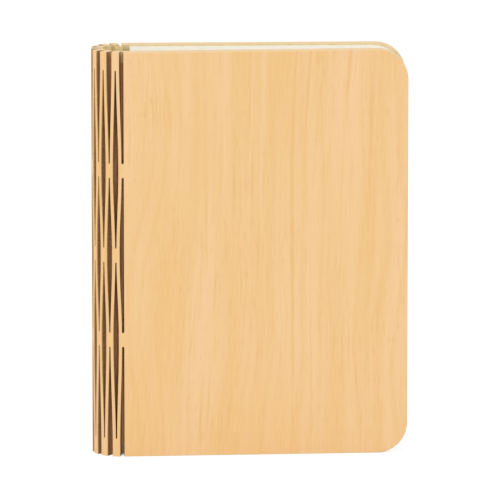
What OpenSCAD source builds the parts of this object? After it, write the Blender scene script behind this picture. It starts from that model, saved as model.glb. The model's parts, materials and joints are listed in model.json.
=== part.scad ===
// Folding book lamp, closed and standing on its lower edges.
//
// Two rigid covers and the lattice spine between them are cut from one board. The spine is a living
// hinge: rows of long slots leave thin bars that twist, so the board rolls round from closed, through
// flat, to back to back. A light bar stands inside the spine, and a fan of folded leaves hides it.
//
// +Z is up, +X points at the fore edge and -Y is the front. The origin is at the middle of the foot.

/* [Cover boards] */
// Height of the boards, foot to head
board_h = 215; // [190:1:240]
// Width of a cover, from its hinge edge to its fore edge
cover_w = 148.6; // [120:0.2:180]
// Thickness of the boards
board_t = 6; // [5:0.1:6.3]
// Radius of the two fore-edge corners of a cover
corner_r = 16; // [8:0.5:24]
// Lean of each cover towards the other when the book is closed, in degrees
cover_lean = 1; // [0.6:0.1:1.2]

/* [Lattice spine] */
// Width of one strip of the spine, across its solid bridge
strip_w = 3.9; // [3.7:0.05:4.2]
// Width of a slot where it is widest, with the spine laid flat
slot_w = 1.65; // [1.55:0.05:1.9]
// Width of a slot at its rounded ends
slot_end_w = 0.6; // [0.4:0.05:0.8]
// Step from the middle of a cover's own slots to the cover's hinge edge
hinge_edge = 0.85; // [0.6:0.05:1.2]
// Height of a bridge between two slots
bridge_h = 7.4; // [5:0.1:10]
// Height of the solid block at the head and at the foot of a strip
end_block_h = 9.5; // [8:0.1:16]
// Distance between the two rows of bridges that join strips two and two
bridge_rows = 90; // [80:1:100]

/* [Leaves] */
// Thickness of the leaf paper
leaf_t = 0.22; // [0.15:0.01:0.25]
// Air between neighbouring leaves at their inner folds
fold_gap = 0.3; // [0.2:0.05:0.4]
// Width of a leaf pair across its outer fold
fold_w = 0.56; // [0.5:0.02:0.6]
// Step of the leaves below the head and above the foot of the covers
leaf_inset = 0.9; // [0.6:0.1:4]
// Step of the outer folds behind the fore edge
fold_inset = 2; // [1.5:0.1:6]
// Distance from the hinge edge of a cover to the inner folds
fold_start = 4.2; // [4:0.1:6]
// Thickness of the lining sheet glued inside each cover
lining_t = 0.3; // [0.2:0.05:0.5]

/* [Light bar] */
// Outer radius of the round back of the light bar
bar_r = 8.5; // [8:0.05:8.6]
// Reach of the diffuser in front of the middle of the spine
bar_reach = 3.4; // [3.2:0.05:3.5]
// Wall of the aluminium housing
bar_wall = 1.2; // [1:0.05:1.4]
// Wall of the diffuser
diffuser_wall = 0.9; // [0.8:0.05:1]
// Step of the light bar in from the head and the foot
bar_inset = 4; // [3.5:0.5:8]
// Thickness of an end cap
cap_t = 2.4; // [2.2:0.1:3.5]
// Reach of the two cheeks of an end cap, which close the hollow spine beside the plug
cheek_l = 3.4; // [1.5:0.1:3.4]
// Depth of the flat along the back of the housing, cut off the round
foot_cut = 0.2; // [0.15:0.01:0.25]
// Width of the mounting pads on that flat
pad_w = 3.2; // [2.4:0.1:3.4]

/* [Light and power] */
// Number of light-emitting diodes
led_count = 22; // [12:1:24]
// Length and width of one diode
led_size = [3.5, 2.8];
// Height of one diode
led_t = 0.7; // [0.5:0.05:0.8]
// Thickness of the circuit boards
pcb_t = 1.2; // [0.8:0.1:1.4]
// Length of one lithium cell
cell_l = 66; // [50:1:70]
// Width of a cell
cell_w = 7.2; // [6:0.1:7.4]
// Thickness of a cell
cell_t = 4.6; // [4:0.1:4.8]
// Length of the control board
control_l = 34; // [28:1:40]
// Width of the shell of the charging socket
socket_w = 7.4; // [7.4:0.1:7.6]
// Thickness of the shell of the charging socket
socket_t = 2.9; // [2.8:0.05:3]

/* [Fastenings] */
// Diameter of a cover magnet
magnet_d = 10; // [6:0.5:14]
// Thickness of a cover magnet
magnet_t = 3; // [2:0.1:3.6]
// Distance from a magnet's middle to the fore edge
magnet_from_fore = 14; // [12:0.5:20]
// Distance from a magnet's middle to the head or the foot
magnet_from_end = 30; // [24:1:50]
// Shank diameter of a cap screw
screw_d = 1.5; // [1.4:0.05:1.6]
// Head diameter of a cap screw
screw_head_d = 2.8; // [2.6:0.05:3]
// Height of a cap screw's head
screw_head_h = 1; // [0.8:0.05:1.2]
// Length of a cap screw under its head
screw_l = 7; // [5:0.5:9]
// Play round a piece that drops into a pocket
play = 0.1; // [0.05:0.01:0.15]

/* [Hidden] */
$fn = 48;
eps = 0.01;

// The strips between the covers, and the bars that twist between them.
STRIPS = 13;
HALF = (STRIPS + 1) / 2;
MIDDLE = HALF;

// Spacing of the strips, the turn of each bar, and the circle that the spine bends round.
pitch = (strip_w + slot_w) / 2;
turn = (90 + cover_lean) / HALF;
arc_r = pitch / 2 / tan(turn / 2);
cover_turn = HALF * turn;
cover_dir = [sin(cover_turn), cos(cover_turn)];
cover_out = [-cos(cover_turn), sin(cover_turn)];

// The middle of that circle, which centres the closed book on the origin.
out_r = arc_r + board_t / 2;
fore_reach = out_r * cover_out[0] + (hinge_edge + cover_w) * cover_dir[0];
arc_x = (out_r - fore_reach) / 2;

// Heights of the bridges and of the places halfway along the bars.
mid_z = board_h / 2;
row_z = [mid_z - bridge_rows / 2, mid_z + bridge_rows / 2];
split_low = (end_block_h + row_z[0] - bridge_h / 2) / 2;
split_next = (row_z[0] + mid_z) / 2;
bar_tip = slot_w / 2;

// The space between the covers, measured from the middle plane to a cover's inner face.
in_r = arc_r - board_t / 2;
function inner_y(x) = let (u = (x - arc_x - cover_out[0] * in_r) / cover_dir[0])
    cover_dir[1] * u + cover_out[1] * in_r;

// The leaves.
fold_x0 = arc_x + hinge_edge + fold_start;
fold_x1 = arc_x + fore_reach - board_t * cover_out[0] - fold_inset;
fold_step0 = (inner_y(fold_x0) - lining_t) / HALF;
fold_step1 = (inner_y(fold_x1) - lining_t) / HALF;
leaf_corner_r = corner_r - leaf_inset;

// The light bar, in its own frame: the middle of the spine's circle, with z from the foot of the book.
bar_z0 = bar_inset;
bar_z1 = board_h - bar_inset;
shell_z0 = bar_z0 + cap_t;
shell_z1 = bar_z1 - cap_t;
front_r = arc_r + bar_reach;
lip_x = pcb_t;
shell_in_r = bar_r - bar_wall;
rail_y = 5.4;
rail_x = -1.9;
cheek_x = -2.5;
rail_r = 1.7;
channel_d = screw_d + play;
led_board_gap = 0.75;
led_pcb_w = 2 * (shell_in_r - led_board_gap);
led_from_end = 12;
led_run = shell_z1 - shell_z0 - 2 * led_from_end;
diffuser_lip = 0.8;
led_gap = led_run / (led_count - 1);
foot_x = -(bar_r - foot_cut);

// The parts behind the diode board.
control_x = -3;
control_w = socket_w;
control_foot_gap = 0.6;
control_z0 = shell_z0 + control_foot_gap;
control_z1 = control_z0 + control_l;
lead_l = 6;
lead_d = 0.9;
lead_y = 2.2;
cell_x = -5.1;
cell_gap = 4;
cell_z0 = control_z1 + lead_l;
socket_h = 6.5;
socket_wall = 0.35;
socket_recess = 0.4;
tongue_t = 0.6;
tongue_side = 1.6;
tongue_step = 0.8;

strip_names = [for (i = [1:STRIPS]) str("strip_", i)];
page_names = [for (i = [1:STRIPS]) str("page_", i)];

WOOD = "#efc894";
CHAR = "#6b4630";
PAPER = "#fbf8ea";
STEEL = "#b9bcc0";

// ---------------------------------------------------------------------------------------- placing

// Puts a piece that is drawn on the middle strip onto strip k, counted from the middle strip.
module on_spine(k) {
    translate([arc_x, 0, 0]) rotate([0, 0, -k * turn]) translate([-arc_r, 0, 0]) children();
}

// Stands a flat outline up as board: its x runs along the spine's bend, its y up, its middle on the arc.
module board(thick = board_t, shift = 0) {
    translate([shift, 0, 0]) rotate([90, 0, 90])
        linear_extrude(height = thick, center = true) children();
}

module in_bar() {
    translate([arc_x, 0, 0]) children();
}

// ------------------------------------------------------------------------------------- lattice spine

// The slot between two bars: narrow and round at the bridge, widening to the tips of the bars.
// It starts at height z0 and ends at z1, which may be above or below.
module slot_cut(z0, z1) {
    up = sign(z1 - z0);
    end_r = slot_end_w / 2;
    tip = z1 + up * eps;
    translate([0, z0 + up * end_r]) circle(r = end_r, $fn = 24);
    polygon([[-end_r, z0 + up * end_r], [-bar_tip, tip], [bar_tip, tip], [end_r, z0 + up * end_r]]);
}

// One solid piece of a strip, from z0 to z1, with a bridge from b0 to b1 and slots above and below it.
module strip_piece(z0, b0, b1, z1) {
    difference() {
        translate([-strip_w / 2, z0]) square([strip_w, z1 - z0]);
        if (b0 > z0) slot_cut(b0, z0);
        if (b1 < z1) slot_cut(b1, z1);
    }
}

// Strips with an odd number: a block at the foot and at the head, and a bridge at mid height.
module odd_strip() {
    strip_piece(0, 0, end_block_h, split_low);
    strip_piece(split_next, mid_z - bridge_h / 2, mid_z + bridge_h / 2, board_h - split_next);
    strip_piece(board_h - split_low, board_h - end_block_h, board_h, board_h);
}

// Strips with an even number: a bridge in each of the two rows.
module even_strip() {
    for (flip = [0, 1])
        translate([0, flip * board_h]) mirror([0, flip])
            strip_piece(split_low, row_z[0] - bridge_h / 2, row_z[0] + bridge_h / 2, split_next);
}

module strip(i) {
    color(WOOD) on_spine(i - MIDDLE) board() {
        if (i % 2 == 1) odd_strip();
        else even_strip();
    }
}

// -------------------------------------------------------------------------------------------- covers

// Outline of a sheet as high as h from the foot z0, from u0 to u1, with its far corners rounded.
module leaf_outline(u0, u1, z0, h, r) {
    translate([u0, z0]) square([u1 - u0 - r, h]);
    translate([u0, z0 + r]) square([u1 - u0, h - 2 * r]);
    for (z = [z0 + r, z0 + h - r]) translate([u1 - r, z]) circle(r = r, $fn = 96);
}

// The slot between a cover's hinge edge and the bar beside it, from height z0 to z1.
module cover_slot_cut(z0, z1) {
    up = sign(z1 - z0);
    end_r = slot_end_w / 2;
    edge = hinge_edge + 2 * eps;
    tip = z1 + up * eps;
    hull() for (u = [0, hinge_edge - end_r]) translate([u, z0 + up * end_r]) circle(r = end_r, $fn = 24);
    polygon([[-end_r, z0 + up * end_r], [-bar_tip, tip], [edge, tip], [edge, z0 + up * end_r]]);
}

// The half strips that the cover carries on its bridges, up to the tips of their bars.
module cover_bars() {
    for (flip = [0, 1])
        translate([0, flip * board_h]) mirror([0, flip]) {
            z0 = split_low;
            z1 = split_next;
            b0 = row_z[0] - bridge_h / 2;
            b1 = row_z[0] + bridge_h / 2;
            difference() {
                translate([-strip_w / 2, z0]) square([strip_w / 2 + hinge_edge + eps, z1 - z0]);
                cover_slot_cut(b0, z0);
                cover_slot_cut(b1, z1);
            }
        }
}

module magnet_places() {
    for (z = [magnet_from_end, board_h - magnet_from_end])
        translate([0, hinge_edge + cover_w - magnet_from_fore, z]) children();
}

// The back cover, drawn on the middle strip's place; the pockets open at its inner face.
module cover_shape() {
    difference() {
        board() {
            leaf_outline(hinge_edge, hinge_edge + cover_w, 0, board_h, corner_r);
            cover_bars();
        }
        magnet_places() translate([board_t / 2 - magnet_t, 0, 0]) rotate([0, 90, 0])
            cylinder(d = magnet_d + play, h = magnet_t + 1);
    }
}

module back_cover() {
    color(WOOD) on_spine(HALF) cover_shape();
}

module front_cover() {
    color(WOOD) mirror([0, 1, 0]) on_spine(HALF) cover_shape();
}

// ------------------------------------------------------------------------------- linings and magnets

module lining_shape() {
    board(lining_t, (board_t + lining_t) / 2)
        leaf_outline(hinge_edge + fold_start, hinge_edge + cover_w - fold_inset, leaf_inset,
                     board_h - 2 * leaf_inset, leaf_corner_r);
}

module back_lining() {
    color(PAPER) on_spine(HALF) lining_shape();
}

module front_lining() {
    color(PAPER) mirror([0, 1, 0]) on_spine(HALF) lining_shape();
}

module magnet_shape() {
    magnet_places() translate([board_t / 2 - magnet_t, 0, 0]) rotate([0, 90, 0])
        cylinder(d = magnet_d, h = magnet_t);
}

module back_magnets() {
    color(STEEL) on_spine(HALF) magnet_shape();
}

module front_magnets() {
    color(STEEL) mirror([0, 1, 0]) on_spine(HALF) magnet_shape();
}

// -------------------------------------------------------------------------------------------- leaves

// Half the width of a leaf pair at its inner folds.
root_half = (fold_step0 - fold_gap) / 2;

// The folded pair of leaves seen from above: two walls that meet in the outer fold.
module pair_plan(k) {
    y0 = k * fold_step0;
    y1 = k * fold_step1;
    fold_r = fold_w / 2;
    polygon([
        [fold_x0, y0 - root_half],
        [fold_x1 - fold_r, y1 - fold_r],
        [fold_x1 - fold_r / 2, y1 - fold_r],
        [fold_x1, y1 - fold_r / 2],
        [fold_x1, y1 + fold_r / 2],
        [fold_x1 - fold_r / 2, y1 + fold_r],
        [fold_x1 - fold_r, y1 + fold_r],
        [fold_x0, y0 + root_half],
        [fold_x0, y0 + root_half - leaf_t],
        [fold_x1 - fold_r, y1 + fold_r - leaf_t],
        [fold_x1 - fold_r, y1 - fold_r + leaf_t],
        [fold_x0, y0 - root_half + leaf_t]
    ]);
}

module page(i) {
    color(PAPER) intersection() {
        linear_extrude(height = board_h) pair_plan(i - MIDDLE);
        rotate([90, 0, 0]) linear_extrude(height = 2 * out_r, center = true)
            leaf_outline(fold_x0 - 1, fold_x1, leaf_inset, board_h - 2 * leaf_inset, leaf_corner_r);
    }
}

// ----------------------------------------------------------------------------------------- light bar

// Everything inside the bar's outline, grown or shrunk by d: a round back and a shallow domed front.
module bar_outline(d = 0) {
    intersection() {
        circle(r = bar_r + d, $fn = 96);
        translate([-arc_r, 0]) circle(r = front_r + d, $fn = 128);
    }
}

// The part of a flat outline on the spine side of x, or in front of it with front = true.
module half_of(x, front = false) {
    side = 4 * bar_r;
    intersection() {
        children();
        translate([front ? x : x - side, -side / 2]) square([side, side]);
    }
}

module screw_places() {
    for (y = [-rail_y, rail_y]) translate([rail_x, y]) children();
}

// Extruded housing: a round shell with a flat foot, and two rails that hold the screws and the board.
module bar_housing() {
    color("#b08762") in_bar() translate([0, 0, shell_z0])
        linear_extrude(height = shell_z1 - shell_z0) difference() {
            union() {
                half_of(lip_x) difference() {
                    bar_outline();
                    circle(r = shell_in_r, $fn = 96);
                }
                half_of(0) intersection() {
                    circle(r = bar_r - bar_wall / 2, $fn = 96);
                    union() {
                        screw_places() circle(r = rail_r);
                        for (y = [-1, 1]) translate([rail_x, y * (rail_y + rail_r / 2) - rail_r / 2])
                            square([-rail_x, rail_r]);
                    }
                }
            }
            screw_places() circle(d = channel_d, $fn = 24);
            translate([foot_x - bar_r, -bar_r]) square([bar_r, 2 * bar_r]);
        }
}

module bar_diffuser() {
    color("#f6f6f0") in_bar() translate([0, 0, shell_z0])
        linear_extrude(height = shell_z1 - shell_z0) half_of(lip_x, front = true) difference() {
            bar_outline();
            intersection() {
                circle(r = shell_in_r - diffuser_lip, $fn = 96);
                translate([-arc_r, 0]) circle(r = front_r - diffuser_wall, $fn = 128);
            }
        }
}

module led_board() {
    color("#f4f5f2") in_bar() translate([0, -led_pcb_w / 2, shell_z0 + play])
        cube([pcb_t, led_pcb_w, shell_z1 - shell_z0 - 2 * play]);
}

module leds() {
    color("#f7d774") in_bar() for (i = [0:led_count - 1])
        translate([pcb_t, -led_size[1] / 2, mid_z - led_run / 2 + i * led_gap - led_size[0] / 2])
            cube([led_t, led_size[1], led_size[0]]);
}

module battery_cells() {
    color("#8f979d") in_bar() for (i = [0, 1])
        translate([cell_x, -cell_w / 2, cell_z0 + i * (cell_l + cell_gap)])
            cube([cell_t, cell_w, cell_l]);
}

module battery_leads() {
    color("#c23b2e") in_bar() {
        for (y = [-lead_y, lead_y]) {
            translate([control_x + pcb_t / 2, y, control_z1]) cylinder(d = lead_d, h = lead_l, $fn = 24);
            translate([control_x + pcb_t / 2, y, cell_z0 + cell_l])
                cylinder(d = lead_d, h = cell_gap, $fn = 24);
        }
    }
}

// A square chip with its middle at height z on the control board.
module chip(z, side, height) {
    translate([control_x + pcb_t, -side / 2, z - side / 2]) cube([height, side, side]);
}

// Charger, converter and the sensor that wakes the lamp when a cover magnet moves away.
module control_board() {
    color("#2f6b45") in_bar() translate([0, 0, control_z0]) {
        translate([control_x, -control_w / 2, 0]) cube([pcb_t, control_w, control_l]);
        chip(8, 4, 1);
        chip(18, 5, 1.2);
        chip(27, 3, 0.9);
    }
}

module charging_socket() {
    color(STEEL) in_bar() translate([control_x - socket_t, -socket_w / 2, bar_z0 + socket_recess]) {
        difference() {
            cube([socket_t, socket_w, socket_h]);
            translate([socket_wall, socket_wall, -1])
                cube([socket_t - 2 * socket_wall, socket_w - 2 * socket_wall, socket_h]);
        }
        translate([(socket_t - tongue_t) / 2, tongue_side, tongue_step])
            cube([tongue_t, socket_w - 2 * tongue_side, socket_h - tongue_step - eps]);
    }
}

// An end cap with its outer face at z = 0, its cheeks below that and the housing above it.
module cap_shape() {
    difference() {
        union() {
            linear_extrude(height = cap_t) difference() {
                bar_outline();
                translate([foot_x - bar_r, -bar_r]) square([bar_r, 2 * bar_r]);
            }
            translate([0, 0, -cheek_l]) linear_extrude(height = cheek_l + cap_t)
                half_of(cheek_x, front = true) difference() {
                    bar_outline();
                    circle(r = shell_in_r, $fn = 96);
                }
        }
        screw_places() translate([0, 0, -1]) {
            cylinder(d = screw_d + 2 * play, h = cap_t + 2, $fn = 24);
            cylinder(d = screw_head_d + 2 * play, h = screw_head_h + 1, $fn = 24);
        }
    }
}

module bottom_cap() {
    color("#c6b082") in_bar() translate([0, 0, bar_z0]) difference() {
        cap_shape();
        translate([control_x - socket_t - play, -socket_w / 2 - play, -1])
            cube([socket_t + 2 * play, socket_w + 2 * play, cap_t + 2]);
    }
}

module top_cap() {
    color("#c6b082") in_bar() translate([0, 0, bar_z1]) mirror([0, 0, 1]) cap_shape();
}

module cap_screw() {
    cylinder(d = screw_head_d, h = screw_head_h, $fn = 24);
    cylinder(d = screw_d, h = screw_head_h + screw_l, $fn = 24);
}

module cap_screws() {
    color(STEEL) in_bar() {
        translate([0, 0, bar_z0]) screw_places() cap_screw();
        translate([0, 0, bar_z1]) mirror([0, 0, 1]) screw_places() cap_screw();
    }
}

// Adhesive pads between the foot of the housing and the solid blocks of the middle strip.
module mounting_pads() {
    pad_t = in_r + foot_x;
    color(CHAR) in_bar() {
        for (z = [shell_z0, mid_z - bridge_h / 2, shell_z1 - bridge_h])
            translate([-in_r, -pad_w / 2, z]) cube([pad_t, pad_w, bridge_h]);
    }
}

front_cover();
back_cover();
for (i = [1:STRIPS]) strip(i);
front_lining();
back_lining();
for (i = [1:STRIPS]) page(i);
front_magnets();
back_magnets();
bar_housing();
bar_diffuser();
led_board();
leds();
battery_cells();
battery_leads();
control_board();
charging_socket();
top_cap();
bottom_cap();
cap_screws();
mounting_pads();
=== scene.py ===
# %% [markdown]
# # A folding book lamp
# The lamp looks like a closed wooden book. Its two covers and its spine are cut from one veneered board,
# and rows of slots make the spine bend. Inside, a fan of folded paper leaves hides a light bar.
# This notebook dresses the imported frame: the frame says where each piece is and how it moves, and each
# cell adds one piece or one finish.

# %% Load the frame
import json
import math

import bmesh
import bpy
from mathutils import Matrix, Vector


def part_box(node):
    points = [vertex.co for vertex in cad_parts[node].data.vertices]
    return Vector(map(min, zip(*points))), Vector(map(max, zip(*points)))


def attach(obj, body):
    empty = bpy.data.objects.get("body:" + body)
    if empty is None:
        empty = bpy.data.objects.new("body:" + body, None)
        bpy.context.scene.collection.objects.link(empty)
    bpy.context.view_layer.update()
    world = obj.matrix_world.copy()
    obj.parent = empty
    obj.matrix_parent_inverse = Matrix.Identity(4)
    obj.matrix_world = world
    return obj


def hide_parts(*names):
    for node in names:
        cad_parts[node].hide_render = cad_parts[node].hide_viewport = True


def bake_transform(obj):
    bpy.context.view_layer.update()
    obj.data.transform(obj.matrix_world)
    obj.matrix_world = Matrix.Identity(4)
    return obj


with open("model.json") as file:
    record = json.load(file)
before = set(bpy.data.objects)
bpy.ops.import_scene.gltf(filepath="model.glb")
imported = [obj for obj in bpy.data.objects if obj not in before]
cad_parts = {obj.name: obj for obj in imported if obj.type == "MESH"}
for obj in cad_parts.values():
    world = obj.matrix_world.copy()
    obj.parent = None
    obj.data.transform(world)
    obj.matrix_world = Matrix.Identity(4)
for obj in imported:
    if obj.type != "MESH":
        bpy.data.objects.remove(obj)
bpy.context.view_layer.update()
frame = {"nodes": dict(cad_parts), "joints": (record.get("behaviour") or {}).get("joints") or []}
scene = bpy.context.scene
mm = 0.001

# %% [markdown]
# ## Reading the hinge from the frame
# The spine of the real lamp bends on its slots, and the frame stands in for that with seven hinges on each
# side of the middle strip. Their axes lie on one circle, so two of them are enough to find the spacing
# of the strips, the turn from one strip to the next, and the middle of the circle. Working them out
# here keeps every wooden piece on the frame's own circle. A few sizes are written out, such as those of
# the bridges and the slot ends, because the boxes of the frame's nodes don't tell them.

# %% Spacing, turn and circle of the spine
SIDES = {"back": 1, "front": -1}
axes = {}
for side in SIDES:
    axes[side] = [Vector(j["pos_m"]) for j in frame["joints"] if j["name"].startswith(f"open_{side}_")]
HINGES = len(axes["back"])
first_axis, second_axis = axes["back"][0].xy, axes["back"][1].xy
pitch = 2 * first_axis.y
turn = math.pi / 2 - math.atan2(*reversed(second_axis - first_axis))
arc_r = pitch / 2 / math.tan(turn / 2)
arc_x = first_axis.x + arc_r
print(f"pitch {pitch / mm:.3f} mm, turn {math.degrees(turn):.2f} degrees, radius {arc_r / mm:.2f} mm")

# %% Sizes of the board and of its slots
board_low, board_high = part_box("back_cover")
strip_low, strip_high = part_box("strip_7")
board_h = board_high.z - board_low.z
strip_w = strip_high.y - strip_low.y
board_t = strip_high.x - strip_low.x
mid_z = board_h / 2
bridge_h = 7.4 * mm
bridge_rows = 90 * mm
end_block_h = 9.5 * mm
notch_r = 0.35 * mm
bar_w = strip_w / 2 - notch_r
print(f"board {board_h / mm:.1f} x {board_t / mm:.1f} mm")
print(f"strips {strip_w / mm:.2f} mm, bars {bar_w / mm:.2f} mm")

# %% [markdown]
# ## A small kit for node trees
# The light, the floor, the finishes and many of the shapes below are node trees.

# %% Helpers for every node tree
class Nodes:
    """A node tree that is built node by node."""

    def __init__(self, net):
        self.net = net

    def feed(self, value, inlet):
        """Joins an output to an input, or sets the input to a plain value."""
        if isinstance(value, bpy.types.NodeSocket):
            self.net.links.new(value, inlet)
        else:
            inlet.default_value = value

    def add(self, kind, inputs=None, **settings):
        """Adds a node, and sets or joins its inputs."""
        made = self.net.nodes.new(kind)
        for key, value in settings.items():
            setattr(made, key, value)
        for key, value in (inputs or {}).items():
            self.feed(value, made.inputs[key])
        return made

    def node(self, kind, outlet=0, inputs=None, **settings):
        """Adds a node in the same way, and returns one of its outputs."""
        return self.add(kind, inputs, **settings).outputs[outlet]

    def math(self, operation, *values):
        return self.node("ShaderNodeMath", operation=operation, inputs=dict(enumerate(values)))

    def vector(self, x=0.0, y=0.0, z=0.0):
        return self.node("ShaderNodeCombineXYZ", inputs={0: x, 1: y, 2: z})

    def parts(self, vector):
        """The three coordinates of a vector, as the outputs X, Y and Z."""
        return self.add("ShaderNodeSeparateXYZ", {0: vector}).outputs

    def step(self, value, low, high, start=0.0, end=1.0, shape="LINEAR"):
        """value between low and high, turned into a step from start to end."""
        inputs = {"Value": value, "From Min": low, "From Max": high, "To Min": start, "To Max": end}
        return self.node("ShaderNodeMapRange", interpolation_type=shape, inputs=inputs)


print("node kit ready")

# %% [markdown]
# ## Camera, light and floor
# Pale wood wants even light, so that it shows its own colour. A long lens from four metres away keeps
# the edges of the book nearly parallel. The world gives most of the light and three large soft lamps
# give the rest. The floor shows white to the eye of the camera, but keeps the soft shadow that stands
# the book on it. Where it is closed in, as inside the spine, an ambient occlusion node dims its white
# glow: this is painted shade.

# %% Camera
camera_data = bpy.data.cameras.new("camera")
camera_data.sensor_width = 36
camera_data.lens = 562
camera_data.clip_end = 40
camera = bpy.data.objects.new("camera", camera_data)
camera.location = (-0.2064, -4.0, 0.9304)
camera_pitch = math.radians(11.62)
camera_yaw = math.radians(2.96)
camera.rotation_euler = (math.pi / 2 - camera_pitch, 0, -camera_yaw)
scene.collection.objects.link(camera)
scene.camera = camera
scene.view_settings.view_transform = "Standard"
print("lens", camera_data.lens)

# %% World and lamps
WORLD_LIGHT = 0.84
world = bpy.data.worlds.new("soft white")
world.use_nodes = True
world.node_tree.nodes.clear()
scene.world = world


def sees_directly(tree):
    """1 for rays from the camera, from a mirror or through glass, and 0 for the rays that carry light."""
    path = tree.add("ShaderNodeLightPath").outputs
    direct = tree.math("MAXIMUM", path["Is Camera Ray"], path["Is Glossy Ray"])
    return tree.math("MAXIMUM", direct, path["Is Transmission Ray"])


sky = Nodes(world.node_tree)
sky_strength = sky.step(sees_directly(sky), 0, 1, WORLD_LIGHT, 1.0)
sky_light = sky.node("ShaderNodeBackground", inputs={"Color": (1, 1, 1, 1), "Strength": sky_strength})
sky.add("ShaderNodeOutputWorld", {"Surface": sky_light})


def soft_lamp(name, place, aim, size, power):
    """A large square lamp that points at aim."""
    data = bpy.data.lights.new(name, "AREA")
    data.size = size
    data.energy = power
    lamp = bpy.data.objects.new(name, data)
    lamp.location = place
    lamp.rotation_euler = (Vector(aim) - Vector(place)).to_track_quat("-Z", "Y").to_euler()
    scene.collection.objects.link(lamp)


book_middle = (0, 0, mid_z)
soft_lamp("key_lamp", (-1.9, -1.5, 1.4), book_middle, size=1.6, power=9)
soft_lamp("top_lamp", (-0.1, -0.2, 2.0), book_middle, size=1.4, power=7)
soft_lamp("fill_lamp", (1.6, -1.5, 0.9), book_middle, size=1.8, power=4)
print("world", WORLD_LIGHT)

# %% Floor
floor_r = 12
lit_colour, seen_colour = (0.86, 0.86, 0.85, 1), (0.22, 0.22, 0.22, 1)
closed_in, open_air = 0.04, 0.13
painted_shade_glow, white_glow = 0.09, 0.84
floor_mesh = bpy.data.meshes.new("floor")
floor_shape = bmesh.new()
bmesh.ops.create_circle(floor_shape, cap_ends=True, segments=96, radius=floor_r)
floor_shape.to_mesh(floor_mesh)
floor_shape.free()
floor = bpy.data.objects.new("floor", floor_mesh)
scene.collection.objects.link(floor)
floor_paint = bpy.data.materials.new("pale floor")
floor_paint.use_nodes = True
floor_paint.node_tree.nodes.clear()
ground = Nodes(floor_paint.node_tree)
lit = ground.node("ShaderNodeBsdfDiffuse", inputs={"Color": lit_colour})
seen = ground.node("ShaderNodeBsdfDiffuse", inputs={"Color": seen_colour})
# Painted shade: the floor's white glow dims where ambient occlusion finds it closed in.
openness = ground.node("ShaderNodeAmbientOcclusion", outlet="AO", inputs={"Distance": 30 * mm})
glow_strength = ground.step(openness, closed_in, open_air, painted_shade_glow, white_glow)
glow = ground.node("ShaderNodeEmission", inputs={"Strength": glow_strength})
white = ground.node("ShaderNodeAddShader", inputs={0: seen, 1: glow})
surface = ground.node("ShaderNodeMixShader", inputs={0: sees_directly(ground), 1: lit, 2: white})
ground.add("ShaderNodeOutputMaterial", {"Surface": surface})
floor_mesh.materials.append(floor_paint)
print(f"floor radius {floor_r} m")

# %% [markdown]
# ## A small kit for finishes
# Each finish below is a Principled BSDF with its colour, roughness and bump worked out by nodes. The
# helpers only save typing: they scale a pattern in millimetres, mix two colours and make a relief.
# Colours are written as they look on a screen, from 0 to 255, and turned into the linear values that
# Blender mixes.

# %% Helpers for finishes
def colour(r, g, b):
    """A screen colour as the linear RGBA that a shader takes."""
    def linear(c):
        c = c / 255
        return c / 12.92 if c <= 0.04045 else ((c + 0.055) / 1.055) ** 2.4
    return (linear(r), linear(g), linear(b), 1)


class Finish(Nodes):
    """A material whose Principled BSDF is fed by nodes."""

    def __init__(self, name, roughness=0.5, metallic=0.0):
        self.material = bpy.data.materials.new(name)
        self.material.use_nodes = True
        super().__init__(self.material.node_tree)
        self.shader = self.net.nodes["Principled BSDF"]
        self.give("Roughness", roughness)
        self.give("Metallic", metallic)

    def give(self, name, value):
        """Sets or joins an input of the shader."""
        self.feed(value, self.shader.inputs[name])

    def stretched(self, source, scale):
        """The coordinates of source in millimetres, times a scale along each axis."""
        size = [factor / mm for factor in scale]
        return self.node("ShaderNodeMapping", inputs={"Vector": source, "Scale": size})

    def noise(self, vector, scale=1.0, detail=2.0, roughness=0.5, distortion=0.0):
        inputs = {"Vector": vector, "Scale": scale, "Detail": detail, "Roughness": roughness,
                  "Distortion": distortion}
        return self.node("ShaderNodeTexNoise", inputs=inputs)

    def ramp(self, value, low, high, start=0.0, end=1.0):
        """value between low and high, turned into a smooth step from start to end."""
        return self.step(value, low, high, start, end, "SMOOTHSTEP")

    def mix(self, amount, first, second):
        """Two colours mixed. In this node, inputs 6 and 7 are the colours and output 2 is the mix."""
        inputs = {0: amount, 6: first, 7: second}
        return self.node("ShaderNodeMix", outlet=2, data_type="RGBA", inputs=inputs)

    def relief(self, height, depth):
        """Bump of a depth in metres from a height between 0 and 1."""
        inputs = {"Height": height, "Distance": depth, "Strength": 1.0}
        self.give("Normal", self.node("ShaderNodeBump", inputs=inputs))


print("finish kit ready")

# %% [markdown]
# ## Wood veneer
# The board is faced with a pale, straight-grained veneer before the slots are cut, so the grain runs on
# from the cover across the spine. A pattern on plain object coordinates would change from strip to strip
# where the spine bends. Each wooden piece therefore carries an attribute named sheet, its place on the
# flat board, and the grain reads that: soft bands, nested arches, a few long lines, and short streaks and
# pores that come in patches. The grain leans and wanders a little, as it does in a cut sheet. The inner
# face of the board has a duller, khaki backing veneer, which shows between the strips at the head.

# %% Veneer finish
def sheet_place(finish):
    return finish.node("ShaderNodeAttribute", outlet="Vector", attribute_name="sheet")


def outward(finish):
    """How far a point lies from the middle of the board towards its outer face, in millimetres."""
    return finish.math("MULTIPLY", finish.parts(sheet_place(finish))["Y"], 1 / mm)


def outer_side(finish):
    """1 on the outer side of the board, and 0 on its inner side."""
    return finish.math("GREATER_THAN", outward(finish), 0.0)


def leaning(finish, place):
    """The place on the board, sheared and gently bent as the grain is, which never runs quite upright."""
    lean, most_wander = 0.03, 9 * mm
    x, y, z = finish.parts(place)
    wander = finish.noise(finish.stretched(place, (0.007, 0.2, 0.006)), detail=1.0)
    across = finish.math("MULTIPLY_ADD", wander, most_wander, finish.math("MULTIPLY_ADD", z, lean, x))
    return finish.vector(across, y, z)


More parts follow.
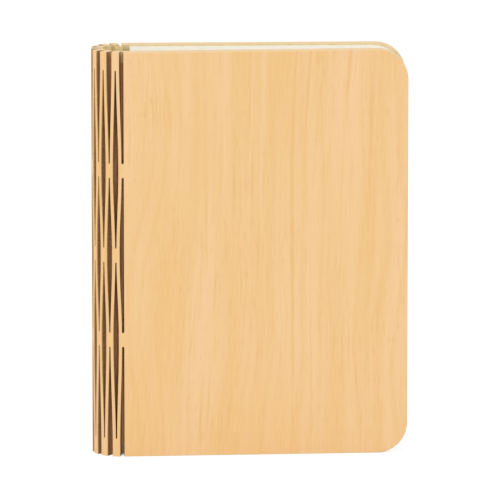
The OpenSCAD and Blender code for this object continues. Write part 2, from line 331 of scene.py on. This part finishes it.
def veneer_finish():
    arch_middle, arch_drift, ring_scale = (-78, 0, -13), 34.0, 0.21
    wood = Finish("wood veneer", roughness=0.52)
    place = leaning(wood, sheet_place(wood))
    drift = wood.noise(wood.stretched(place, (0.012, 0.3, 0.006)), detail=1.0)
    arch_place = wood.node("ShaderNodeMapping", inputs={
        "Vector": place, "Location": arch_middle, "Scale": (1 / mm, 0, 0.1 / mm)})
    arch = wood.node("ShaderNodeVectorMath", outlet="Value", operation="LENGTH", inputs={0: arch_place})
    bend = wood.math("MULTIPLY_ADD", drift, arch_drift, arch)
    rings = wood.node("ShaderNodeTexNoise", noise_dimensions="1D", inputs={
        "W": bend, "Scale": ring_scale, "Detail": 3.0, "Roughness": 0.55})
    bands = wood.noise(wood.stretched(place, (0.05, 0.3, 0.004)), detail=2.0)
    lines = wood.noise(wood.stretched(place, (0.3, 0.3, 0.0035)), detail=1.0)
    streaks = wood.noise(wood.stretched(place, (0.55, 0.3, 0.03)), detail=3.0)
    fibres = wood.noise(wood.stretched(place, (1.8, 0.3, 0.08)), detail=2.0)
    pores = wood.noise(wood.stretched(place, (3.0, 0.3, 0.14)), detail=0.0)
    patches = wood.noise(wood.stretched(place, (0.03, 0.3, 0.012)), detail=1.0)
    busy = wood.ramp(patches, 0.4, 0.62, 0.35, 1.0)
    base = wood.mix(wood.ramp(bands, 0.33, 0.67), colour(245, 203, 151), colour(241, 195, 129))
    base = wood.mix(wood.ramp(rings, 0.46, 0.68, 0, 0.35), base, colour(237, 189, 121))
    base = wood.mix(wood.ramp(lines, 0.62, 0.76, 0, 0.7), base, colour(237, 186, 115))
    base = wood.mix(wood.ramp(lines, 0.38, 0.26, 0, 0.35), base, colour(246, 206, 164))
    streak_mask = wood.math("MULTIPLY", wood.ramp(streaks, 0.5, 0.72, 0, 0.75), busy)
    base = wood.mix(streak_mask, base, colour(235, 187, 118))
    base = wood.mix(wood.ramp(fibres, 0.35, 0.75, 0, 0.35), base, colour(248, 210, 160))
    pore_mask = wood.math("MULTIPLY", wood.ramp(pores, 0.62, 0.8, 0, 0.42), busy)
    base = wood.mix(pore_mask, base, colour(222, 172, 106))
    backing = wood.mix(wood.ramp(streaks, 0.4, 0.7), colour(232, 213, 167), colour(222, 201, 150))
    wood.give("Base Color", wood.mix(outer_side(wood), backing, base))
    wood.give("Roughness", wood.ramp(fibres, 0.3, 0.7, 0.48, 0.58))
    wood.relief(wood.math("SUBTRACT", fibres, pore_mask), 0.02 * mm)
    return wood.material


veneer = veneer_finish()
print(veneer.name)

# %% [markdown]
# ## Cut edges
# The slots are burned through by a laser, which browns their walls. Deeper in the board, away from the
# outer
# face, the walls are painted paler: this is painted light, which lifts the shade that falls deep inside
# the narrow slots. The laser leaves fine marks of the beam, and a paler line where it passed the veneer.
# The outer edges are sanded clean, so they show the fibreboard core between two thin lines of veneer. Both
# finishes read the same sheet attribute: its second number is the depth in the board.

# %% Charred and sanded edges
def depth_in_board(finish):
    """Distance from the middle of the board's thickness, in millimetres."""
    return finish.math("ABSOLUTE", outward(finish))


def charred_finish():
    char = Finish("laser-cut wall", roughness=0.78)
    place = sheet_place(char)
    beam = char.noise(char.stretched(place, (1.5, 0.12, 2.6)), detail=2.0)
    cloud = char.noise(char.stretched(place, (0.15, 0.5, 0.09)), detail=2.0)
    base = char.mix(char.ramp(cloud, 0.3, 0.7), colour(146, 111, 79), colour(134, 102, 71))
    # Painted light: the wall turns pale deeper in the board, to lift the shade inside the narrow slots.
    base = char.mix(char.ramp(outward(char), 1.7, -2.2), base, colour(236, 194, 145))
    base = char.mix(char.ramp(beam, 0.45, 0.7, 0, 0.5), base, colour(195, 145, 101))
    base = char.mix(char.ramp(depth_in_board(char), 2.3, 2.6, 0, 0.85), base, colour(228, 180, 125))
    char.give("Base Color", base)
    char.relief(beam, 0.03 * mm)
    return char.material


def sanded_finish():
    core = Finish("sanded board edge", roughness=0.7)
    place = sheet_place(core)
    fluff = core.noise(core.stretched(place, (1.6, 1.6, 1.6)), detail=3.0, roughness=0.6)
    base = core.mix(core.ramp(fluff, 0.35, 0.68), colour(232, 203, 161), colour(218, 187, 141))
    base = core.mix(core.ramp(depth_in_board(core), 2.35, 2.5), base, colour(238, 203, 155))
    core.give("Base Color", base)
    core.relief(fluff, 0.04 * mm)
    return core.material


charred, sanded = charred_finish(), sanded_finish()
print(charred.name, "/", sanded.name)

# %% [markdown]
# ## A small kit for Geometry Nodes
# Many pieces of this lamp repeat by a rule: bars that twist, bridges in rows, folded leaves. A rule is
# easier to change in a node tree than in a list of points.

# %% Helpers for geometry trees
class Tree(Nodes):
    """A Geometry Nodes tree with named number inputs and one geometry output."""

    def __init__(self, name, **sizes):
        super().__init__(bpy.data.node_groups.new(name, "GeometryNodeTree"))
        for label, value in sizes.items():
            kind = "NodeSocketInt" if isinstance(value, int) else "NodeSocketFloat"
            socket = self.net.interface.new_socket(label, in_out="INPUT", socket_type=kind)
            socket.default_value = value
        self.net.interface.new_socket("Mesh", in_out="OUTPUT", socket_type="NodeSocketGeometry")
        self.sizes = self.add("NodeGroupInput").outputs

    def place(self):
        """The three coordinates of each point of the geometry."""
        return self.parts(self.node("GeometryNodeInputPosition"))

    def look(self):
        """The three parts of the direction that each face looks in."""
        return self.parts(self.node("GeometryNodeInputNormal"))

    def moved(self, mesh, position):
        return self.node("GeometryNodeSetPosition", inputs={"Geometry": mesh, "Position": position})

    def joined(self, *meshes):
        join = self.add("GeometryNodeJoinGeometry")
        for mesh in meshes:
            self.feed(mesh, join.inputs[0])
        return join.outputs[0]

    def marked(self, mesh, name, vector):
        """Stores a vector on each point under a name that a finish can read."""
        store = self.add("GeometryNodeStoreNamedAttribute", {"Geometry": mesh, "Name": name},
                         data_type="FLOAT_VECTOR")
        inlet = [s for s in store.inputs if s.name == "Value" and s.type == "VECTOR"][0]
        self.feed(vector, inlet)
        return store.outputs[0]

    def caught(self, mesh, faces):
        """Keeps a choice of faces while the mesh changes. Returns the mesh and the kept choice."""
        catch = self.add("GeometryNodeCaptureAttribute", domain="FACE")
        catch.capture_items.new("BOOLEAN", "Kept")
        self.feed(mesh, catch.inputs[0])
        self.feed(faces, catch.inputs[1])
        return catch.outputs[0], catch.outputs[1]

    def end(self, mesh, finish, others=()):
        """Realizes the instances and sets the finish, then each other finish on its own faces."""
        mesh = self.node("GeometryNodeRealizeInstances", inputs={"Geometry": mesh})
        mesh = self.node("GeometryNodeSetMaterial", inputs={"Geometry": mesh, "Material": finish})
        for faces, other in others:
            inputs = {"Geometry": mesh, "Selection": faces, "Material": other}
            mesh = self.node("GeometryNodeSetMaterial", inputs=inputs)
        self.add("NodeGroupOutput", {0: mesh})

    def grow(self, name, **sizes):
        """One piece of the lamp: the tree's mesh with these sizes, as a plain mesh object."""
        seed = bpy.data.objects.new(name + "_seed", bpy.data.meshes.new(name + "_seed"))
        scene.collection.objects.link(seed)
        modifier = seed.modifiers.new("tree", "NODES")
        modifier.node_group = self.net
        for item in self.net.interface.items_tree:
            if item.in_out == "INPUT" and item.name in sizes:
                modifier[item.identifier] = sizes.pop(item.name)
        if sizes:
            raise ValueError(f"{self.net.name} has no input named {list(sizes)}")
        bpy.context.view_layer.update()
        ready = seed.evaluated_get(bpy.context.evaluated_depsgraph_get())
        mesh = bpy.data.meshes.new_from_object(ready)
        mesh.name = name
        bpy.data.objects.remove(seed)
        piece = bpy.data.objects.new(name, mesh)
        scene.collection.objects.link(piece)
        return piece


print("tree kit ready")

# %% [markdown]
# ## Where each strip goes
# Count the strips from the middle one, 0, to the covers, 7 and -7. The board is drawn flat first, with x
# along the board, y through its thickness and z up. To bend it, a flat point is laid against the circle
# and turned about its middle. Each strip rides on the body of its own number.

# %% Numbers, bodies and placing
def body_name(number):
    """The body that carries a strip, counted from the middle one."""
    if number == 0:
        return "spine_middle"
    side = "back" if number > 0 else "front"
    return f"{side}_board" if abs(number) == HINGES else f"{side}_fold_{abs(number)}"


def strip_name(number):
    """The frame's node of a strip or a cover."""
    if abs(number) == HINGES:
        return "back_cover" if number > 0 else "front_cover"
    return f"strip_{number + HINGES}"


def turned(tree, local, angle, middle_x, middle_y):
    """Turns a local point about the upright axis and carries it to the middle given."""
    spin = tree.node("ShaderNodeVectorRotate", rotation_type="Z_AXIS",
                     inputs={"Vector": local, "Angle": angle})
    middle = tree.vector(middle_x, middle_y)
    return tree.node("ShaderNodeVectorMath", operation="ADD", inputs={0: spin, 1: middle})


def side_walls(tree):
    """True on the faces of a flat piece that the laser cuts: those that look along the board."""
    return tree.math("GREATER_THAN", tree.math("ABSOLUTE", tree.look()["X"]), 0.5)


print(body_name(-7), strip_name(-7), body_name(0), strip_name(0))

# %% [markdown]
# ## Bars that twist
# Between two neighbouring strips stand four thin bars. Each starts at a bridge of one strip and ends at a
# bridge of the next, so it leans a little, and it twists by the turn between them when the spine bends.
# This twist is what makes stiff board roll like cloth. So the bar is straight when the book lies flat.

# %% Bar tree
bar_lean = pitch / 2 - notch_r - bar_w / 2
bar_rings = 29


def bar_tree():
    tree = Tree("twisting bar", Low=0.0, High=0.1, Start=0.0, End=0.1, Lean=0.0, Along=0.0,
                **{"First turn": 0.0, "Last turn": 0.0, "Axis x": 0.0, "Axis y": 0.0})
    size = tree.sizes
    box = tree.node("GeometryNodeMeshCube", inputs={
        "Size": (bar_w, board_t, 1), "Vertices X": 2, "Vertices Y": 2, "Vertices Z": bar_rings})
    x, y, z = tree.place()
    height = tree.step(z, -0.5, 0.5, size["Low"], size["High"])
    part = tree.step(height, size["Start"], size["End"])
    shift = tree.step(part, 0, 1, tree.math("MULTIPLY", size["Lean"], -1), size["Lean"])
    flat = tree.moved(box, tree.vector(tree.math("ADD", x, shift), y, height))
    x, y, z = tree.place()
    sheet = tree.vector(tree.math("ADD", x, size["Along"]), y, z)
    flat = tree.marked(flat, "sheet", sheet)
    flat, walls = tree.caught(flat, side_walls(tree))
    angle = tree.step(z, size["Start"], size["End"], size["First turn"], size["Last turn"], "SMOOTHSTEP")
    local = tree.vector(tree.math("MULTIPLY", y, -1), x, z)
    bent = tree.moved(flat, turned(tree, local, angle, size["Axis x"], size["Axis y"]))
    tree.end(bent, veneer, [(walls, charred)])
    return tree


bars = bar_tree()
print("bar leans", round(bar_lean / mm, 3), "mm to each side")

# %% Heights of the slot ends
row_low, row_high = mid_z - bridge_rows / 2, mid_z + bridge_rows / 2
half_bridge = bridge_h / 2 + notch_r
end_heights = [end_block_h + notch_r, mid_z - half_bridge,
               mid_z + half_bridge, board_h - end_block_h - notch_r]
row_heights = [row_low - half_bridge, row_low + half_bridge,
               row_high - half_bridge, row_high + half_bridge]
print("slots end at", [round(z / mm, 1) for z in end_heights], [round(z / mm, 1) for z in row_heights])

# %% Grow the bars
for side, way in SIDES.items():
    for near in range(HINGES):
        far = near + 1
        starts, ends = (end_heights, row_heights) if near % 2 == 0 else (row_heights, end_heights)
        axis = axes[side][near]
        for count, (start, end) in enumerate(zip(starts, ends), 1):
            bar = bars.grow(f"{side}_bar_{far}_{count}", **{
                "Low": min(start, end), "High": max(start, end), "Start": start, "End": end,
                "Lean": way * bar_lean, "Along": way * (near + 0.5) * pitch,
                "First turn": -way * near * turn, "Last turn": -way * far * turn,
                "Axis x": axis.x, "Axis y": axis.y})
            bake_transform(bar)
            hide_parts(strip_name(way * near), strip_name(way * far))
print(2 * HINGES * len(end_heights), "bars")

# %% [markdown]
# ## Bridges and end blocks
# What the slots leave whole are the bridges, in rows, and the blocks at the head and the foot. Even
# numbers carry an end block at each end and one bridge at mid height; odd numbers carry two
# bridges. The slots end round, so each block has a half-round notch where a slot meets it. One tree
# draws both kinds from a box whose upper and lower edges follow that notch, sets them out along a line
# of points, and bends them onto the circle.

# %% Strip tree
block_columns = 26


def notched_block(tree, low, high, notch_below):
    """A flat block with a notch in its upper edge, and in its lower edge where notch_below is 1."""
    box = tree.node("GeometryNodeMeshCube", inputs={
        "Size": (strip_w, board_t, 1), "Vertices X": block_columns + 1, "Vertices Y": 2,
        "Vertices Z": 2})
    x, y, z = tree.place()
    under_root = tree.math("SUBTRACT", notch_r ** 2, tree.math("MULTIPLY", x, x))
    rise = tree.math("SUBTRACT", notch_r, tree.math("SQRT", tree.math("MAXIMUM", under_root, 0.0)))
    upper = tree.math("ADD", high, rise)
    lower = tree.math("SUBTRACT", low, tree.math("MULTIPLY", rise, notch_below))
    return tree.moved(box, tree.vector(x, y, tree.step(z, -0.5, 0.5, lower, upper)))


def outer_ends(tree):
    """True on the head and the foot of the board, and false on the notches and on the faces."""
    level = tree.math("GREATER_THAN", tree.math("ABSOLUTE", tree.look()["Z"]), 0.5)
    from_middle = tree.math("ABSOLUTE", tree.math("SUBTRACT", tree.place()["Z"], mid_z))
    at_end = tree.math("GREATER_THAN", from_middle, mid_z - 1 * mm)
    return tree.math("MULTIPLY", level, at_end)


def strip_tree():
    tree = Tree("bridges of a strip", Bridges=1, First=0.1, Spacing=0.0, Ends=0, Number=0.0)
    size = tree.sizes
    bridge = notched_block(tree, -bridge_h / 2, bridge_h / 2, 1.0)
    rows = tree.node("GeometryNodeMeshLine", inputs={
        "Count": size["Bridges"], "Start Location": tree.vector(z=size["First"]),
        "Offset": tree.vector(z=size["Spacing"])})
    bridges = tree.node("GeometryNodeInstanceOnPoints", inputs={"Points": rows, "Instance": bridge})
    block = notched_block(tree, 0.0, end_block_h, 0.0)
    tips = tree.node("GeometryNodeMeshLine", inputs={"Count": size["Ends"], "Offset": (0, 0, board_h)})
    upside = tree.math("MULTIPLY", tree.node("GeometryNodeInputIndex"), math.pi)
    blocks = tree.node("GeometryNodeInstanceOnPoints", inputs={
        "Points": tips, "Instance": block, "Rotation": tree.vector(y=upside)})
    flat = tree.node("GeometryNodeRealizeInstances", inputs={"Geometry": tree.joined(bridges, blocks)})
    x, y, z = tree.place()
    along = tree.math("MULTIPLY_ADD", size["Number"], pitch, x)
    flat = tree.marked(flat, "sheet", tree.vector(along, y, z))
    flat, walls = tree.caught(flat, side_walls(tree))
    flat, level = tree.caught(flat, outer_ends(tree))
    local = tree.vector(tree.math("SUBTRACT", -arc_r, y), x, z)
    angle = tree.math("MULTIPLY", size["Number"], -turn)
    bent = tree.moved(flat, turned(tree, local, angle, arc_x, 0.0))
    tree.end(bent, veneer, [(walls, charred), (level, sanded)])
    return tree


strips = strip_tree()
for number in range(1 - HINGES, HINGES):
    if number % 2 == 0:
        layout = {"Bridges": 1, "First": mid_z, "Ends": 2}
    else:
        layout = {"Bridges": 2, "First": row_low, "Spacing": bridge_rows, "Ends": 0}
    strip = strips.grow(strip_name(number) + "_bridges", Number=float(number), **layout)
    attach(strip, body_name(number))
    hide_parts(strip_name(number))
print(2 * HINGES - 1, "strips of bridges")

# %% [markdown]
# ## Covers
# A cover is a flat board with two rounded corners at the fore edge and an upright hinge edge. Two tabs
# stand out from the hinge edge and carry the last bars. The outline is drawn once from lines and arcs and
# given its thickness. Then the outer rim is eased by a small bevel, as sandpaper does, while the
# laser-cut hinge edge stays sharp.

# %% Cover outline
corner_r = 16 * mm
hinge_edge = 0.85 * mm
corner_steps, notch_steps = 20, 4
cover_turn = HINGES * turn
cover_reach = (board_high.x - arc_x + (arc_r + board_t / 2) * math.cos(cover_turn)) / math.sin(cover_turn)


def arc(middle, radius, start, end, count):
    """Points of an arc from start to end, in degrees."""
    turns = [math.radians(start + (end - start) * i / count) for i in range(count + 1)]
    return [(middle[0] + radius * math.cos(a), middle[1] + radius * math.sin(a)) for a in turns]


def tab(height):
    """The outline of a tab at the hinge edge, from its upper notch down to its lower one."""
    above, below = height + bridge_h / 2, height - bridge_h / 2
    corner = hinge_edge - notch_r
    upper = arc((corner, above + notch_r), notch_r, 0, -90, notch_steps)
    upper += arc((0, above + notch_r), notch_r, -90, -180, notch_steps)
    lower = [(u, 2 * height - z) for u, z in reversed(upper)]
    return upper + [(-strip_w / 2, above + notch_r), (-strip_w / 2, below - notch_r)] + lower


def cover_outline():
    """The outline of a cover in two runs: its rim from the foot round, and its hinge edge back down."""
    fore = cover_reach - corner_r
    rim = [(hinge_edge, 0)]
    rim += arc((fore, corner_r), corner_r, -90, 0, corner_steps)
    rim += arc((fore, board_h - corner_r), corner_r, 0, 90, corner_steps)
    rim += [(hinge_edge, board_h)]
    return rim, tab(row_high) + tab(row_low)


rim, hinge_line = cover_outline()
print("cover outline has", len(rim), "points on its rim and", len(hinge_line), "on its hinge edge")

# %% Cover boards
ease_r = 0.35 * mm
hair = 0.01 * mm


def on_rim(edge):
    """True where both ends of an edge lie on the rim, and not on the laser-cut hinge edge."""
    places = [v.co for v in edge.verts]
    return all(p.x > hinge_edge + hair or p.z < hair or p.z > board_h - hair for p in places)


def board_piece(name, number, rim, hinge_line):
    """Raises the outline to a board, eases its rim and bends it to the place of its strip."""
    way = 1 if number > 0 else -1
    shape = bmesh.new()
    outline = [shape.verts.new((u, 0, z)) for u, z in rim + hinge_line]
    face = shape.faces.new(outline)
    raised = bmesh.ops.extrude_face_region(shape, geom=[face])
    top = [v for v in raised["geom"] if isinstance(v, bmesh.types.BMVert)]
    for vert in shape.verts:
        vert.co.y = -board_t / 2
    for vert in top:
        vert.co.y = board_t / 2
    bmesh.ops.recalc_face_normals(shape, faces=shape.faces)
    eased = [e for e in shape.edges if e.verts[0].co.y == e.verts[1].co.y and on_rim(e)]
    bmesh.ops.bevel(shape, geom=eased, offset=ease_r, segments=3, affect="EDGES", profile=0.6)
    sheet = shape.verts.layers.float_vector.new("sheet")
    for face in shape.faces:
        if abs(face.normal.y) > 0.99:
            face.material_index = 0
        elif face.calc_center_median().x < hinge_edge + hair:
            face.material_index = 1
        else:
            face.material_index = 2
    spin = Matrix.Rotation(-number * turn, 3, "Z")
    for vert in shape.verts:
        flat = vert.co.copy()
        vert[sheet] = (way * flat.x + number * pitch, flat.y, flat.z)
        vert.co = spin @ Vector((-arc_r - flat.y, way * flat.x, flat.z)) + Vector((arc_x, 0, 0))
    bmesh.ops.recalc_face_normals(shape, faces=shape.faces)
    mesh = bpy.data.meshes.new(name)
    shape.to_mesh(mesh)
    shape.free()
    for material in (veneer, charred, sanded):
        mesh.materials.append(material)
    piece = bpy.data.objects.new(name, mesh)
    scene.collection.objects.link(piece)
    return piece


for number in (HINGES, -HINGES):
    cover = board_piece(strip_name(number) + "_board", number, rim, hinge_line)
    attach(cover, body_name(number))
    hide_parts(strip_name(number))
    print(cover.name, "has", len(cover.data.polygons), "faces")

# %% [markdown]
# ## Paper leaves
# The light shines through a fan of paper that is folded to and fro, with outer folds behind the fore edge
# and inner folds close to the light bar. One piece runs from one outer fold to the next, and all its
# bending is in the inner fold between them, so the leaves stay thin and flat. The tree lays a grid along
# that path: across the grid the paper runs in to the inner fold, over to the next leaf and out again, and
# up the grid it follows the rounded corners. Then the sheet gets the thickness of real paper. Light passes
# through paper, so its finish scatters a little light under the surface.

# %% Leaf paper finish
def paper_finish():
    paper = Finish("leaf paper", roughness=0.86)
    place = sheet_place(paper)
    fibres = paper.noise(paper.stretched(place, (0.9, 0.9, 0.5)), detail=4.0, roughness=0.65,
                         distortion=1.2)
    cloud = paper.noise(paper.stretched(place, (0.09, 0.09, 0.07)), detail=2.0)
    base = paper.mix(paper.ramp(cloud, 0.35, 0.65), colour(254, 250, 235), colour(253, 247, 227))
    base = paper.mix(paper.ramp(fibres, 0.58, 0.75, 0, 0.25), base, colour(255, 253, 244))
    paper.give("Base Color", base)
    paper.relief(fibres, 0.03 * mm)
    paper.give("Subsurface Weight", 0.3)
    paper.give("Subsurface Radius", (1.0, 0.9, 0.7))
    paper.give("Subsurface Scale", 0.6 * mm)
    return paper.material


leaf_paper = paper_finish()
print(leaf_paper.name)

# %% Leaf sizes, from the frame
page_low, page_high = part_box("page_7")
next_low, next_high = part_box("page_8")
last_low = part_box("page_13")[0]
steps_to_last = 13 - 8
inner_x, outer_x = page_low.x, page_high.x
leaf_low, leaf_high = page_low.z, page_high.z
inner_step = next_high.y - page_high.y
outer_step = (last_low.y - next_low.y) / steps_to_last
fold_half = outer_step - next_low.y
inner_gap = inner_step - 2 * page_high.y
leaf_t = 0.22 * mm
leaf_corner_r = corner_r - leaf_low
print(f"leaves {(outer_x - inner_x) / mm:.1f} mm deep, {inner_step / mm:.2f} mm apart inside, "
      f"{outer_step / mm:.2f} mm outside")

# %% Leaf tree
leaf_columns, leaf_rows = 56, 6
fold_share = 0.14
pattern_step = 20 * mm


def leaf_tree():
    tree = Tree("folded leaf", Number=0.0)
    number = tree.sizes["Number"]
    grid = tree.node("GeometryNodeMeshGrid", inputs={
        "Size X": 2.0, "Size Y": 1.0, "Vertices X": leaf_columns + 1, "Vertices Y": leaf_rows + 1})
    across, up = tree.place()["X"], tree.place()["Y"]
    side = tree.math("SIGN", across)
    from_fold = tree.math("ABSOLUTE", across)
    crossing = tree.step(from_fold, 0, fold_share)
    reach = tree.step(from_fold, fold_share, 1, 0, 1, "SMOOTHSTEP")
    x = tree.step(reach, 0, 1, inner_x, outer_x)
    middle = tree.math("MULTIPLY", number, tree.step(reach, 0, 1, inner_step, outer_step))
    leaf_half = tree.step(reach, 0, 1, inner_gap / 2 + leaf_t, outer_step / 2 - fold_half + leaf_t)
    at_outer_fold = tree.step(x, outer_x - fold_half, outer_x)
    half = tree.math("MULTIPLY", leaf_half, crossing)
    spare = tree.math("SUBTRACT", outer_step / 2, half)
    half = tree.math("MULTIPLY_ADD", spare, at_outer_fold, half)
    y = tree.math("MULTIPLY_ADD", side, half, middle)
    past = tree.math("MAXIMUM", tree.math("SUBTRACT", x, outer_x - leaf_corner_r), 0.0)
    chord = tree.math("SUBTRACT", leaf_corner_r ** 2, tree.math("MULTIPLY", past, past))
    cut = tree.math("SUBTRACT", leaf_corner_r, tree.math("SQRT", tree.math("MAXIMUM", chord, 0.0)))
    z = tree.step(up, -0.5, 0.5, tree.math("ADD", cut, leaf_low), tree.math("SUBTRACT", leaf_high, cut))
    sheet = tree.vector(tree.math("MULTIPLY", side, x), tree.math("MULTIPLY", number, pattern_step), z)
    leaf = tree.marked(grid, "sheet", sheet)
    leaf = tree.moved(leaf, tree.vector(x, y, z))
    thick = tree.node("GeometryNodeExtrudeMesh", outlet="Mesh", inputs={
        "Mesh": leaf, "Individual": False, "Offset Scale": leaf_t})
    back = tree.node("GeometryNodeFlipFaces", inputs={"Mesh": leaf})
    closed = tree.node("GeometryNodeMergeByDistance", inputs={
        "Geometry": tree.joined(thick, back), "Distance": 0.001 * mm})
    tree.end(closed, leaf_paper)
    return tree


leaves = leaf_tree()
print("leaf tree ready")

# %% Grow the leaves
def fold_line(number):
    """Two points in the gap between two leaves at the outer fold, square to the leaves."""
    inner = Vector((inner_x, number * inner_step, mid_z))
    outer = Vector((outer_x, number * outer_step, mid_z))
    along = (outer - inner).normalized()
    free_half = min(inner_gap, outer_step - 2 * fold_half) / 2 - hair
    across = Vector((-along.y, along.x, 0)) * free_half
    return outer - across, outer + across


def page_name(number):
    return f"page_{number + HINGES}"


for near in range(-HINGES, HINGES):
    leaf = leaves.grow(f"leaf_{near + HINGES + 1}", Number=near + 0.5)
    start, end = fold_line(near + 0.5)
    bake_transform(leaf)
    nodes_here = [page_name(n) for n in (near, near + 1) if abs(n) < HINGES]
    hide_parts(*nodes_here)
print(2 * HINGES, "leaves")

# %% [markdown]
# ## Light bar and what it holds
# The bar, its circuit boards, cells, magnets and linings are exact in the frame, so they keep the frame's
# own mesh and only get a finish. Extruded aluminium has fine lines along its length under the
# anodising. The diffuser is milky plastic. Each electronic part gets the colour and the texture of
# its kind, because the book can be opened and looked into.

# %% Finishes of the light bar
def object_place(finish):
    return finish.node("ShaderNodeTexCoord", outlet="Object")


def plain_finish(name, first, second, roughness, metallic=0.0, grain=(1, 1, 1), depth=0.01):
    """A surface of two close colours in a fine pattern, with a slight relief."""
    finish = Finish(name, roughness, metallic)
    pattern = finish.noise(finish.stretched(object_place(finish), grain), detail=3.0)
    finish.give("Base Color", finish.mix(finish.ramp(pattern, 0.3, 0.7), colour(*first), colour(*second)))
    finish.give("Roughness", finish.ramp(pattern, 0.3, 0.7, roughness - 0.05, roughness + 0.07))
    finish.relief(pattern, depth * mm)
    return finish.material


finishes = {
    "bar_housing": plain_finish(
        "bronze anodised aluminium", (206, 150, 100), (192, 138, 90), 0.46, 0.9, (4, 4, 0.03)),
    "bar_diffuser": plain_finish(
        "milky diffuser", (250, 249, 244), (244, 243, 237), 0.45, 0.0, (0.5, 0.5, 0.2)),
    "led_board": plain_finish(
        "white solder mask", (243, 244, 240), (236, 238, 233), 0.35, 0.0, (1.5, 1.5, 1.5)),
    "leds": plain_finish(
        "diode phosphor", (247, 215, 110), (238, 198, 84), 0.4, 0.0, (3, 3, 3)),
    "battery_cells": plain_finish(
        "cell foil", (150, 157, 163), (132, 139, 146), 0.32, 0.9, (0.8, 0.8, 0.4), 0.03),
    "battery_leads": plain_finish(
        "lead insulation", (196, 52, 42), (180, 42, 34), 0.4, 0.0, (1, 1, 0.5)),
    "control_board": plain_finish(
        "green solder mask", (40, 106, 68), (30, 88, 55), 0.33, 0.0, (2, 2, 0.4)),
    "charging_socket": plain_finish(
        "pressed steel shell", (190, 192, 196), (174, 176, 181), 0.3, 1.0, (0.6, 0.6, 4)),
    "top_cap": plain_finish(
        "moulded cap", (232, 214, 161), (224, 205, 151), 0.5, 0.0, (3, 3, 3)),
    "cap_screws": plain_finish(
        "screw steel", (186, 188, 192), (168, 170, 175), 0.3, 1.0, (3, 3, 3)),
    "mounting_pads": plain_finish(
        "foam pad", (60, 52, 46), (46, 40, 36), 0.9, 0.0, (4, 4, 4), 0.05),
    "back_magnets": plain_finish(
        "nickel plate", (206, 203, 196), (192, 188, 180), 0.22, 1.0, (1, 1, 1)),
}
finishes["bottom_cap"] = finishes["top_cap"]
finishes["front_magnets"] = finishes["back_magnets"]
print(len(finishes), "frame nodes to finish")

# %% Put the finishes on the frame's nodes
lining_paper = plain_finish(
    "lining paper", (250, 246, 231), (245, 239, 221), 0.88, 0.0, (1.2, 1.2, 0.8), 0.03)
for node in ("front_lining", "back_lining"):
    finishes[node] = lining_paper
for node, material in finishes.items():
    mesh = frame["nodes"][node].data
    mesh.materials.clear()
    mesh.materials.append(material)
print("dressed", len(finishes), "nodes")

# %% [markdown]
# ## Cap screws
# Two small screws hold each end cap, four in all, and only their flat heads show. A driver needs a recess
# to turn them, which is what makes a disc read as a screw. The tree turns a profile into one screw: a
# line of rings along its axis, each with its own radius, skinned and capped. Two crossed bars are cut
# out of the head, and the screw is set on four points, turned over at the head of the book.

# %% Screw tree
screws_low, screws_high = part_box("cap_screws")
head_r = (screws_high.x - screws_low.x) / 2
screw_x, screw_y = screws_low.x + head_r, screws_high.y - head_r
head_h, point_start, point_end = 1.0 * mm, 7.3 * mm, 8.0 * mm
recess_long, recess_wide, recess_deep = 1.7 * mm, 0.36 * mm, 1.1 * mm
screw_twist = 0.4


def by_ring(tree, values):
    """The value of each ring, picked by its number."""
    pick = tree.add("GeometryNodeIndexSwitch", data_type="FLOAT")
    while len(pick.index_switch_items) < len(values):
        pick.index_switch_items.new()
    tree.feed(tree.node("GeometryNodeInputIndex"), pick.inputs["Index"])
    for number, value in enumerate(values):
        tree.feed(value, pick.inputs[number + 1])
    return pick.outputs[0]


def screw_tree():
    tree = Tree("cap screws", **{
        "Head radius": head_r, "Shank radius": 0.75 * mm, "Row x": screw_x, "Row y": screw_y,
        "Low": screws_low.z, "High": screws_high.z})
    size = tree.sizes
    head, shank = size["Head radius"], size["Shank radius"]
    rings = [(0.0, tree.math("MULTIPLY", head, 0.86)), (0.12 * mm, tree.math("MULTIPLY", head, 0.97)),
             (0.3 * mm, head), (head_h - 0.02 * mm, head), (head_h, shank), (point_start, shank),
             (point_end, tree.math("MULTIPLY", shank, 0.25))]
    line = tree.node("GeometryNodeMeshLine", inputs={"Count": len(rings)})
    line = tree.moved(line, tree.vector(z=by_ring(tree, [z for z, radius in rings])))
    axis = tree.node("GeometryNodeMeshToCurve", inputs={"Mesh": line})
    ring = tree.node("GeometryNodeCurvePrimitiveCircle", inputs={"Resolution": 32, "Radius": 1.0})
    screw = tree.node("GeometryNodeCurveToMesh", inputs={
        "Curve": axis, "Profile Curve": ring, "Scale": by_ring(tree, [radius for z, radius in rings]),
        "Fill Caps": True})
    recess = tree.add("GeometryNodeMeshBoolean", {"Mesh 1": screw}, operation="DIFFERENCE")
    for across in ((recess_long, recess_wide), (recess_wide, recess_long)):
        cross = tree.node("GeometryNodeMeshCube", inputs={"Size": (*across, recess_deep)})
        tree.feed(cross, recess.inputs["Mesh 2"])
    number = tree.node("GeometryNodeInputIndex")
    side = tree.step(tree.math("MODULO", number, 2.0), 0, 1, -1, 1)
    at_head = tree.math("GREATER_THAN", number, 1.5)
    height = tree.step(at_head, 0, 1, size["Low"], size["High"])
    points = tree.node("GeometryNodeMeshLine", inputs={"Count": 4})
    row_place = tree.vector(size["Row x"], tree.math("MULTIPLY", side, size["Row y"]), height)
    over, twist = tree.math("MULTIPLY", at_head, math.pi), tree.math("MULTIPLY", side, screw_twist)
    screws = tree.node("GeometryNodeInstanceOnPoints", inputs={
        "Points": tree.moved(points, row_place), "Instance": recess.outputs[0],
        "Rotation": tree.vector(y=over, z=twist)})
    tree.end(screws, finishes["cap_screws"])
    return tree


screws = screw_tree().grow("cap_screw_set")
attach(screws, "spine_middle")
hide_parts("cap_screws")
print(screws.name, "has", len(screws.data.polygons), "faces")
